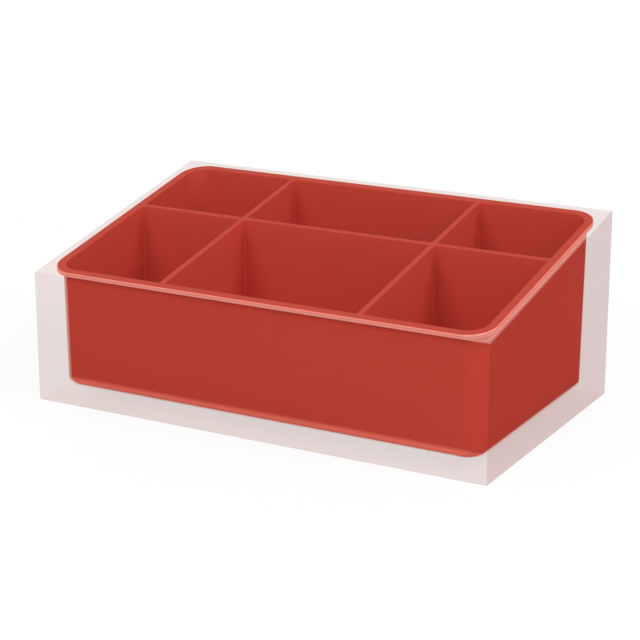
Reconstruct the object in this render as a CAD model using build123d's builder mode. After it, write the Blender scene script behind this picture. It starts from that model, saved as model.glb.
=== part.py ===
"""Bathroom organizer: a red six-bay insert dropped into a thick clear shell with a slanted top.

All sizes are in millimetres. The origin is on the table under the middle of the shell.
+X runs along the front, +Y goes towards the higher back and +Z is up.

Two mouldings make the object. The clear shell is a block with a slanted top and one deep
cavity. Round the cavity's mouth a shallow rebate follows the slant. The insert fills the
cavity with an even gap, and its lip lies in the rebate, flush with the top of the shell.
Both have the same draft, so the insert lifts straight out.
"""

import os
from math import atan2, cos, sin

from build123d import *

# Clear shell, outside
shell_width = 240.0
shell_depth = 141.0
front_height = 64.5
back_height = 93.0
base_thickness = 6.3
edge_chamfer = 0.4  # on the shell's outer edges
mouth_chamfer = 0.2  # where the rebate meets the slanted top

# Insert, measured in from the outside of the shell at the height of its back
lip_inset = 4.1  # clear rim between the outside of the shell and the lip
lip_width = 4.2  # flat top of the lip, out to the bays
lip_thickness = 2.0
lip_chamfer = 0.2  # along the lip's outer edge
tray_wall = 1.4
tray_floor = 2.0
body_corner = 10.5  # radius of the insert's upright corners
foot_round = 4.0  # radius along the insert's lower edge

# Bays
divider = 2.4
centre_bay_width = 102.4
front_bay_depth = 73.6
junction_round = 1.2  # radius where a divider meets a wall
floor_round = 1.0  # radius along the floor of each bay
bay_round = 0.4  # round the mouth of each bay, so also along the dividers

# Fit of the insert in the shell
fit_gap = 0.3
draft_angle = 0.5  # degrees, on every upright wall of the insert and the cavity

# Levels and insets that follow from the sizes above
slant = atan2(back_height - front_height, shell_depth)
tray_base = base_thickness + fit_gap
bay_floor = tray_base + tray_floor
bay_inset = lip_inset + lip_width
body_inset = bay_inset - tray_wall
cavity_inset = body_inset - fit_gap
rebate_inset = lip_inset - fit_gap
lip_corner = body_corner + body_inset - lip_inset
bay_corner = body_corner - tray_wall

# Bays as (centre, size) along X and along Y, between the walls and the dividers
side_bay_width = (shell_width - 2 * bay_inset - centre_bay_width) / 2 - divider
side_bay_centre = centre_bay_width / 2 + divider + side_bay_width / 2
columns = [
    (-side_bay_centre, side_bay_width),
    (0, centre_bay_width),
    (side_bay_centre, side_bay_width),
]
bays_front = bay_inset - shell_depth / 2
back_bay_depth = shell_depth - 2 * bay_inset - front_bay_depth - divider
rows = [
    (bays_front + front_bay_depth / 2, front_bay_depth),
    (bays_front + front_bay_depth + divider + back_bay_depth / 2, back_bay_depth),
]

# The slanted top, and the direction that stands square on it
slanted_top = Plane(
    origin=(0, -shell_depth / 2, front_height), x_dir=(1, 0, 0), z_dir=(0, -sin(slant), cos(slant))
)
slant_normal = Axis(slanted_top.origin, slanted_top.z_dir)


def plan_size(inset):
    """Width and depth of a rectangle set in from all four sides of the shell."""
    return shell_width - 2 * inset, shell_depth - 2 * inset


def drafted_block(low, size, centre=(0, 0)):
    """A block up to the height of the back, where it has this size. Its walls lean in below."""
    with BuildPart() as block:
        with BuildSketch(Plane.XY.offset(low)):
            with Locations(centre):
                Rectangle(*size)
        extrude(amount=back_height - low)
        draft(block.faces().filter_by(Axis.Z, reverse=True), Plane.XY.offset(back_height), -draft_angle)
    return block.part


def tub(low, inset, corner, foot):
    """A drafted block with rounded corners and a rounded foot, as the insert and its cavity are."""
    with BuildPart() as solid:
        add(drafted_block(low, plan_size(inset)))
        fillet(solid.edges().group_by(Axis.Z)[1], corner)
        fillet(solid.edges().group_by(Axis.Z)[0], foot)
    return solid.part


def bay(x, width, y, depth):
    """The space of one bay. In a corner of the tray it follows the tray's own rounding."""
    with BuildPart() as space:
        add(drafted_block(bay_floor, (width, depth), (x, y)))
        fillet(space.edges().group_by(Axis.Z)[1].sort_by_distance((0, 0, 0))[:-1], junction_round)
        outermost = space.edges().group_by(Axis.Z)[1].sort_by_distance((0, 0, 0))[-1]
        fillet(outermost, bay_corner if x else junction_round)
        fillet(space.edges().group_by(Axis.Z)[0], floor_round)
    return space.part


def slanted_slab(inset, corner, below, above):
    """A slab along the slanted top, with a rounded outline in plan and upright edges."""
    half = shell_depth / 2
    with BuildPart() as slab:
        with BuildSketch(Plane.YZ):
            with BuildLine():
                Polyline(
                    (-half, front_height - below),
                    (half, back_height - below),
                    (half, back_height + above),
                    (-half, front_height + above),
                    close=True,
                )
            make_face()
        extrude(amount=shell_width / 2, both=True)
        with BuildSketch():
            RectangleRounded(*plan_size(inset), corner)
        extrude(amount=back_height + above, mode=Mode.INTERSECT)
    return slab.part


os.makedirs("parts", exist_ok=True)

# Clear shell: wedge block, less the cavity and the rebate for the lip
cavity = tub(base_thickness, cavity_inset, body_corner + fit_gap, foot_round + fit_gap)
rebate = slanted_slab(rebate_inset, lip_corner + fit_gap, lip_thickness, lip_thickness)
with BuildPart() as clear_shell:
    with BuildSketch(Plane.YZ):
        with BuildLine():
            Polyline(
                (-shell_depth / 2, 0),
                (shell_depth / 2, 0),
                (shell_depth / 2, back_height),
                (-shell_depth / 2, front_height),
                close=True,
            )
        make_face()
    extrude(amount=shell_width / 2, both=True)
    chamfer(clear_shell.edges(), edge_chamfer)
    add([cavity, rebate], mode=Mode.SUBTRACT)
    rim = clear_shell.faces().sort_by(slant_normal)[-1]
    chamfer(rim.inner_wires()[0].edges(), mouth_chamfer)
clear_shell.part.label = "clear_shell"
export_step(clear_shell.part, "parts/clear_shell.step")

# Insert: tub and lip, both cut off along the slant, less the six bays
lip = slanted_slab(lip_inset, lip_corner, lip_thickness, lip_thickness)
bays = [bay(x, width, y, depth) for x, width in columns for y, depth in rows]
with BuildPart() as insert_tray:
    add([tub(tray_base, body_inset, body_corner, foot_round), lip])
    split(bisect_by=slanted_top, keep=Keep.BOTTOM)
    add(bays, mode=Mode.SUBTRACT)
    top = insert_tray.faces().sort_by(slant_normal)[-1]
    chamfer(top.outer_wire().edges(), lip_chamfer)
    top = insert_tray.faces().sort_by(slant_normal)[-1]
    fillet([edge for mouth in top.inner_wires() for edge in mouth.edges()], bay_round)
insert_tray.part.label = "insert_tray"
export_step(insert_tray.part, "parts/insert_tray.step")
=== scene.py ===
"""Bathroom organizer: a red bay insert in a thick clear shell, on a pale floor in soft light.

Lengths are in metres and places are in the frame of the CAD model: +X runs along the front,
+Y goes towards the higher back and +Z is up. The CAD pieces stay as they are and get their
finishes here. Colours are linear.
"""

from math import atan2, cos, radians, sin, tan

import bpy
from mathutils import Matrix, Vector

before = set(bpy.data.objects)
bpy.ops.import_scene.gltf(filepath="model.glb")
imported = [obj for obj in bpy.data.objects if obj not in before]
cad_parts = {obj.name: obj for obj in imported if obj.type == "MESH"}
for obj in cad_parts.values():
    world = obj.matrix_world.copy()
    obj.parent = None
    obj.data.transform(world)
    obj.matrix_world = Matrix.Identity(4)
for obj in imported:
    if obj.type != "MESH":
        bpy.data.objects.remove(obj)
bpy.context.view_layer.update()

# Camera: its direction and distance, and how far its axis passes from the origin
camera_azimuth = radians(28.90)
camera_elevation = radians(16.79)
camera_distance = 0.9617
camera_right = -0.0016
camera_up = 0.0376
image_size = 640
focal_pixels = 1952.5
sensor_width = 36.0  # millimetres
nearest_view = 0.01

# Floor and world
floor_size = 8.0
floor_gap = 0.0002  # under the shell, so that the two faces don't lie in one plane
floor_albedo = 0.88
floor_speckle = 0.01
floor_patches = 90.0  # the speckle's scale
floor_shadow = 0.14  # share of the light that the camera sees the shadow take away
floor_glow = 0.87  # round the object
full_glow = (0.45, 1.2)  # distances from the object between which the glow rises to white
world_level = 0.38
white = (1.0, 1.0, 1.0)

# Lamps, as (place, size, power)
lamp_aim = (0.0, 0.0, 0.04)
lamps = {
    "front_high": ((-0.15, -1.65, 1.15), (1.2, 1.0), 17.5),
    "right_high": ((1.5, 0.05, 1.35), (1.2, 1.0), 20.7),
    "back_low": ((-1.4, 1.5, 0.6), (1.4, 0.8), 16.2),
}

# Shell
half_width = 0.120
half_depth = 0.0705
front_height = 0.0645
back_height = 0.093

# Direction that stands square on the slanted top, and the top's distance from the origin
slant = atan2(back_height - front_height, 2 * half_depth)
rim_normal = (0.0, -sin(slant), cos(slant))
rim_level = half_depth * sin(slant) + front_height * cos(slant)
rim_face = (0.985, 0.995)  # how nearly a face has that direction, from not at all to wholly

# Centres of the insert's upright corners. Its walls draw in by the draft below the back's height.
corner_x = 0.1026
corner_y = 0.0531
draft = radians(0.5)

# Red plastic: colours, and the scales of its colour's flow, its uneven gloss and its grain
red_low = (0.590, 0.069, 0.046)
red_high = (0.610, 0.073, 0.049)
# Painted shade: the flat tops of the lip and the dividers are darker, against the stronger light on
# them
red_top_painted_shade = (0.510, 0.071, 0.048)
# Pale colour of the painted highlights on the lip's outer edge and along the foot
red_painted_highlight = (1.0, 0.25, 0.18)
red_sheen = (1.0, 0.54, 0.42, 1.0)
red_flow, red_patches, red_grain = 14.0, 220.0, 1500.0

# Where the red plastic is outside: ranges from not at all to wholly
outer_reach = (0.0097, 0.0100)  # from a corner's centre, more than the bays' walls have
wall_reach = (0.002, 0.003)  # the same, more than the dividers have
outward_plane = (0.010, 0.012)  # how far from the origin a face's plane lies, on its outer side
corner_turn = (0.0025, 0.0050)  # how far past a corner's centre, along X and along Y
sideways_power = 1.7  # how late a corner counts as a side

# Painted highlight band on the lip's outer edge, which also lifts the shade on the wall under
# the lip: depths below the rim, and how pale its parts are
band_start = (0.00002, 0.0001)
band_ends = (0.0037, 0.0070)  # at the front and back, and at the sides
band_fade = (0.0, 0.0004)  # above its end
top_line = (0.0003, 0.0006)
lower_part = (0.0010, 0.0014)
end_line = (0.0008, 0.0014)  # above its end
upper_paleness, lower_paleness = 0.38, 0.62  # beside its two lines

# Foot and upright corners of the insert: heights, and how pale the foot's painted highlight is
foot_highlight_paleness = 0.85
foot_full = (0.0100, 0.0082)  # up to here, at the front and back, and at the sides
foot_end = (0.0122, 0.0092)
foot_sheen = (0.0094, 0.0102)
below_lip = (0.0022, 0.0026)  # depths below the rim
sheen_angle = (0.49, 0.62)

# Tints of the clear plastic by how steeply a face is seen: 0 square on, 1 along it
clear_entering = [(0.16, (0.926, 0.925, 0.920)), (0.53, (0.813, 0.726, 0.721))]
clear_leaving = [
    (0.16, (0.862, 0.815, 0.808)),
    (0.53, (0.903, 0.826, 0.821)),
    (0.71, (0.874, 0.780, 0.759)),
]
clear_cavity = (0.985, 0.970, 0.965)
clear_rim = (0.940, 0.965, 0.960)
# Painted shade: the outer upright chamfers and roundings are darker, standing in for light bent
# away at a real edge
clear_edge_painted_shade = (0.800, 0.760, 0.760)
# Haze colour: pale, with a pink that is painted light from the red insert
clear_haze_and_highlight = (1.0, 0.70, 0.63, 1.0)
clear_patches, clear_waves = 300.0, 60.0  # scales of its uneven gloss and of its surface

# Where the clear plastic is hazy, where it has painted highlights and where it is glossy: ranges
# from not at all to wholly
cavity_inset = (0.001, 0.002)
off_axis = (0.975, 0.999)  # the largest part of a face's normal, from turned to square
upright_face = (0.1, 0.3)  # the part of its normal along Z, from upright to not
edge_angle = (0.58, 0.69)
foot_bonus = 0.12  # counts as this much nearer to a glancing angle
foot_rounding = (0.0098, 0.0114)  # heights
mouth_depth = (0.0005, 0.0007)
# Shares of the haze: satin on the rim, and painted highlights on the mouth and the glancing edges
rim_haze, mouth_highlight_haze, edge_highlight_haze = 0.18, 0.45, 0.25
face_gloss = 0.0003  # square on
gloss_power = 14.0
foot_gloss = 0.7
foot_shine = (0.0085, 0.0106)  # heights


class Shader:
    """A material's node tree, with a short way to add a node and set or link its inputs."""

    def __init__(self, name):
        self.material = bpy.data.materials.new(name)
        self.material.use_nodes = True
        self.tree = self.material.node_tree
        self.tree.nodes.clear()
        self.place = self.node("ShaderNodeTexCoord").outputs["Object"]

    def node(self, kind, inputs=None, **settings):
        node = self.tree.nodes.new(kind)
        for name, value in settings.items():
            setattr(node, name, value)
        for socket, value in (inputs or {}).items():
            if isinstance(value, bpy.types.NodeSocket):
                self.tree.links.new(value, node.inputs[socket])
            else:
                node.inputs[socket].default_value = value
        return node

    def math(self, operation, *values):
        inputs = dict(enumerate(values))
        return self.node("ShaderNodeMath", inputs, operation=operation).outputs[0]

    def product(self, first, *others):
        for value in others:
            first = self.math("MULTIPLY", first, value)
        return first

    def largest(self, first, *others):
        for value in others:
            first = self.math("MAXIMUM", first, value)
        return first

    def smallest(self, first, *others):
        for value in others:
            first = self.math("MINIMUM", first, value)
        return first

    def size(self, value):
        return self.math("ABSOLUTE", value)

    def parts(self, vector):
        """The x, y and z of a vector."""
        return self.node("ShaderNodeSeparateXYZ", {0: vector}).outputs

    def dot(self, vector, direction):
        inputs = {0: vector, 1: direction}
        return self.node("ShaderNodeVectorMath", inputs, operation="DOT_PRODUCT").outputs["Value"]

    def facing(self):
        """0 where the surface is seen square on, 1 where it is seen along it."""
        return self.node("ShaderNodeLayerWeight", {"Blend": 0.5}).outputs["Facing"]

    def noise(self, scale, detail=2.0):
        inputs = {"Vector": self.place, "Scale": scale, "Detail": detail}
        return self.node("ShaderNodeTexNoise", inputs).outputs["Fac"]

    def spread(self, value, low, high, start=0.0, end=1.0):
        """Maps a value from one range to another and clamps it there."""
        inputs = {"Value": value, "From Min": start, "From Max": end, "To Min": low, "To Max": high}
        return self.node("ShaderNodeMapRange", inputs).outputs["Result"]

    def rising(self, value, start, end):
        """0 up to the start, 1 from the end."""
        return self.spread(value, 0.0, 1.0, start, end)

    def falling(self, value, start, end):
        """1 up to the start, 0 from the end."""
        return self.spread(value, 1.0, 0.0, start, end)

    def blend(self, share, a, b):
        """Mixes two colours, each a triple or a socket."""
        inputs = {"Factor": share}
        for name, colour in (("A", a), ("B", b)):
            inputs[name] = colour if isinstance(colour, bpy.types.NodeSocket) else (*colour, 1.0)
        return self.node("ShaderNodeMix", inputs, data_type="RGBA").outputs["Result"]

    def ramp(self, value, stops):
        """A colour ramp with its stops as (position, colour)."""
        node = self.node("ShaderNodeValToRGB", {"Fac": value})
        elements = node.color_ramp.elements
        while len(elements) < len(stops):
            elements.new(0.5)
        for element, (position, colour) in zip(elements, stops):
            element.position = position
            element.color = (*colour, 1.0)
        return node.outputs["Color"]

    def bump(self, scale, strength, distance):
        inputs = {"Height": self.noise(scale), "Strength": strength, "Distance": distance}
        return self.node("ShaderNodeBump", inputs).outputs["Normal"]

    def mix(self, share, a, b):
        """Mixes two shader nodes."""
        inputs = {0: share, 1: a.outputs[0], 2: b.outputs[0]}
        return self.node("ShaderNodeMixShader", inputs)

    def rim_depth(self):
        """How far a place lies below the slanted top."""
        return self.math("SUBTRACT", rim_level, self.dot(self.place, rim_normal))

    def finish(self, shader):
        self.node("ShaderNodeOutputMaterial", {"Surface": shader.outputs[0]})
        return self.material


def paint_lip_highlights(s, depth, sideways):
    """The painted highlight band on the lip's outer edge: a line along its top and one along its
    end.

    The band goes deeper at the sides than at the front and back.
    """
    above_end = s.math("SUBTRACT", s.spread(sideways, *band_ends), depth)
    at_top = s.spread(depth, 1.0, upper_paleness, *top_line)
    between = s.spread(depth, upper_paleness, lower_paleness, *lower_part)
    at_end = s.spread(above_end, 1.0, upper_paleness, *end_line)
    band = s.product(s.rising(depth, *band_start), s.rising(above_end, *band_fade))
    return s.product(band, s.largest(at_top, between, at_end))


def red_plastic():
    """Satin moulded plastic: faint flow in the colour, uneven gloss and a fine grain.

    The flat tops are painted darker, as shade against the stronger light on them. Painted
    highlights run as pale lines round the outer edge of the lip and along the rounded foot, and a
    sheen shows on the upright corners and the foot at a glancing angle.
    """
    s = Shader("red_plastic_satin")
    x, y, z = s.parts(s.place)
    normal = s.node("ShaderNodeNewGeometry").outputs["True Normal"]
    depth = s.rim_depth()

    # How far a place reaches out from the corners' centres, and how much of that is sideways
    out_x = s.math("MAXIMUM", s.math("SUBTRACT", s.size(x), corner_x), 0.0)
    out_y = s.math("MAXIMUM", s.math("SUBTRACT", s.size(y), corner_y), 0.0)
    reach = s.math("SQRT", s.math("ADD", s.product(out_x, out_x), s.product(out_y, out_y)))
    sideways = s.math("POWER", s.math("DIVIDE", out_x, reach), sideways_power)

    # The lip and the outer walls, without the bays' walls, and the outward side of the foot
    drawn_in = s.product(s.math("SUBTRACT", back_height, z), tan(draft))
    outer = s.rising(s.math("ADD", reach, drawn_in), *outer_reach)
    faces_out = s.rising(s.dot(s.place, normal), *outward_plane)
    outward = s.product(faces_out, s.rising(reach, *wall_reach))

    # The foot's painted highlight line is lower and thinner at the sides
    foot_highlight_range = s.spread(sideways, *foot_full), s.spread(sideways, *foot_end)
    foot_highlight_paint = s.product(outward, s.spread(z, foot_highlight_paleness, 0.0, *foot_highlight_range))
    lip_highlight_paint = s.product(outer, paint_lip_highlights(s, depth, sideways))

    red = s.blend(s.noise(red_flow, detail=3.0), red_low, red_high)
    # Painted shade: the flat tops are darker
    red = s.blend(s.rising(s.dot(normal, rim_normal), *rim_face), red, red_top_painted_shade)
    # Painted highlights: pale lines on the lip's outer edge and along the foot
    red = s.blend(s.largest(lip_highlight_paint, foot_highlight_paint), red, red_painted_highlight)

    corner = s.rising(s.smallest(out_x, out_y), *corner_turn)
    corner = s.product(outer, corner, s.rising(depth, *below_lip))
    foot = s.product(outward, s.falling(z, *foot_sheen))
    glancing = s.rising(s.facing(), *sheen_angle)
    plastic = s.node(
        "ShaderNodeBsdfPrincipled",
        {
            "Base Color": red,
            "Roughness": s.spread(s.noise(red_patches), 0.44, 0.50),
            "IOR": 1.15,
            "Specular IOR Level": 0.03,
            "Sheen Weight": s.product(s.largest(corner, foot), glancing),
            "Sheen Roughness": 1.0,
            "Sheen Tint": red_sheen,
            "Normal": s.bump(red_grain, strength=0.10, distance=0.00001),
        },
    )
    return s.finish(plastic)


def clear_plastic():
    """Thick clear plastic with a faint pink cast, deeper and glossier at a glancing angle.

    The cast is on the outer faces, and the cavity has hardly any. The slanted rim and the mouth of
    the cavity are satin: a thin pale haze lies over what is behind them, its pink painted light
    from the red insert. The mouth's stronger haze and the haze on the cavity's edges at a glancing
    angle are painted highlights. The outer upright chamfers have a darker cast, as painted shade.
    The cavity's foot is glossy at a glancing angle.
    """
    s = Shader("clear_plastic_polished")
    geometry = s.node("ShaderNodeNewGeometry").outputs
    normal = geometry["True Normal"]
    facing = s.facing()
    x, y, z = s.parts(s.place)

    # The cavity, as what lies inside the outer faces, and the slanted rim
    inset_x = s.math("SUBTRACT", half_width, s.size(x))
    inset_y = s.math("SUBTRACT", half_depth, s.size(y))
    inside = s.rising(s.smallest(inset_x, inset_y, z), *cavity_inset)
    rim = s.rising(s.size(s.dot(normal, rim_normal)), *rim_face)

    # Rounded and chamfered faces, which lie along no axis: on the outside and in the cavity
    nx, ny, nz = (s.size(n) for n in s.parts(normal))
    turned = s.falling(s.largest(nx, ny, nz), *off_axis)
    turned = s.product(turned, s.math("SUBTRACT", 1.0, rim))
    upright = s.falling(nz, *upright_face)
    outer_edge = s.product(turned, s.math("SUBTRACT", 1.0, inside), upright)
    inner_edge = s.product(turned, inside)

    # Of the cavity's edges, those at a glancing angle, at the foot a little earlier, and the mouth
    glancing = s.math("ADD", facing, s.spread(z, foot_bonus, 0.0, *foot_rounding))
    edge = s.product(inner_edge, s.rising(glancing, *edge_angle))
    mouth = s.product(inner_edge, s.falling(s.rim_depth(), *mouth_depth))

    entering = s.ramp(facing, clear_entering)
    cast = s.blend(geometry["Backfacing"], entering, s.ramp(facing, clear_leaving))
    cast = s.blend(inside, cast, clear_cavity)
    cast = s.blend(rim, cast, clear_rim)
    # Painted shade: darker outer upright chamfers
    cast = s.blend(outer_edge, cast, clear_edge_painted_shade)
    clear = s.node("ShaderNodeBsdfTransparent", {"Color": cast})

    # Satin haze on the rim, and painted highlights on the mouth and on the cavity's edges at a
    # glancing angle
    hazes = (s.product(rim, rim_haze), s.product(mouth, mouth_highlight_haze), s.product(edge, edge_highlight_haze))
    haze = s.node("ShaderNodeBsdfDiffuse", {"Color": clear_haze_and_highlight})
    hazy = s.mix(s.largest(*hazes), clear, haze)

    gloss = s.node(
        "ShaderNodeBsdfAnisotropic",
        {
            "Color": (*white, 1.0),
            "Roughness": s.spread(s.noise(clear_patches), 0.02, 0.05),
            "Normal": s.bump(clear_waves, strength=0.05, distance=0.0001),
        },
    )
    on_faces = s.spread(s.math("POWER", facing, gloss_power), face_gloss, 1.0)
    on_foot = s.product(edge, s.spread(z, foot_gloss, 0.0, *foot_shine))
    return s.finish(s.mix(s.largest(on_faces, on_foot), hazy, gloss))


def pale_floor():
    """A matt pale floor. The camera sees it as white, less a part of the object's shadow.

    Away from the object, where the lamps reach it less, it glows more and stays white.
    """
    s = Shader("floor_pale")
    path = s.node("ShaderNodeLightPath").outputs
    seen = s.largest(path["Is Camera Ray"], path["Is Glossy Ray"], path["Is Transmission Ray"])
    speckle = s.spread(s.noise(floor_patches, detail=3.0), -floor_speckle, floor_speckle)
    albedo = s.math("ADD", speckle, s.spread(seen, floor_albedo, floor_shadow))
    colour = s.node("ShaderNodeCombineColor", {"Red": albedo, "Green": albedo, "Blue": albedo})
    matt = s.node("ShaderNodeBsdfDiffuse", {"Color": colour.outputs[0]})
    away = s.node("ShaderNodeVectorMath", {0: s.place}, operation="LENGTH").outputs["Value"]
    level = s.product(seen, s.spread(away, floor_glow, 1.0, *full_glow))
    glow = s.node("ShaderNodeEmission", {"Color": (*white, 1.0), "Strength": level})
    return s.finish(s.node("ShaderNodeAddShader", {0: matt.outputs[0], 1: glow.outputs[0]}))


def finish_node(name, material):
    """Puts a finish in each material slot of a CAD node."""
    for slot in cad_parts[name].material_slots:
        slot.material = material


def add_floor():
    mesh = bpy.data.meshes.new("floor")
    half = floor_size / 2
    outline = ((-half, -half), (half, -half), (half, half), (-half, half))
    mesh.from_pydata([(x, y, -floor_gap) for x, y in outline], [], [(0, 1, 2, 3)])
    floor = bpy.data.objects.new("floor", mesh)
    floor.data.materials.append(pale_floor())
    bpy.context.scene.collection.objects.link(floor)


def add_world():
    """Even light from all round. Where the camera looks past the floor it is white."""
    world = bpy.data.worlds.new("studio")
    world.use_nodes = True
    tree = world.node_tree
    background = tree.nodes["Background"]
    background.inputs["Color"].default_value = (*white, 1.0)
    path = tree.nodes.new("ShaderNodeLightPath")
    level = tree.nodes.new("ShaderNodeMapRange")
    level.inputs["To Min"].default_value = world_level
    level.inputs["To Max"].default_value = 1.0
    seen = tree.nodes.new("ShaderNodeMath")
    seen.operation = "MAXIMUM"
    tree.links.new(path.outputs["Is Camera Ray"], seen.inputs[0])
    tree.links.new(path.outputs["Is Glossy Ray"], seen.inputs[1])
    tree.links.new(seen.outputs[0], level.inputs["Value"])
    tree.links.new(level.outputs["Result"], background.inputs["Strength"])
    bpy.context.scene.world = world


def add_softbox(name, place, size, power):
    """A rectangular area lamp that shines at the object."""
    lamp = bpy.data.lights.new(name, "AREA")
    lamp.shape = "RECTANGLE"
    lamp.size, lamp.size_y = size
    lamp.energy = power
    softbox = bpy.data.objects.new(name, lamp)
    softbox.location = place
    softbox.rotation_mode = "QUATERNION"
    softbox.rotation_quaternion = (Vector(lamp_aim) - Vector(place)).to_track_quat("-Z", "Y")
    bpy.context.scene.collection.objects.link(softbox)


def add_camera():
    a, e = camera_azimuth, camera_elevation
    back = Vector((sin(a) * cos(e), -cos(a) * cos(e), sin(e)))
    right = Vector((cos(a), sin(a), 0.0))
    up = back.cross(right)
    data = bpy.data.cameras.new("camera")
    data.sensor_width = sensor_width
    data.lens = focal_pixels / image_size * sensor_width
    data.clip_start = nearest_view
    camera = bpy.data.objects.new("camera", data)
    camera.matrix_world = Matrix((right, up, back)).transposed().to_4x4()
    camera.location = back * camera_distance + right * camera_right + up * camera_up
    bpy.context.scene.collection.objects.link(camera)
    bpy.context.scene.camera = camera


finish_node("insert_tray", red_plastic())
finish_node("clear_shell", clear_plastic())
add_floor()
add_world()
for name, (place, size, power) in lamps.items():
    add_softbox(name, place, size, power)
add_camera()
bpy.context.scene.view_settings.view_transform = "Standard"
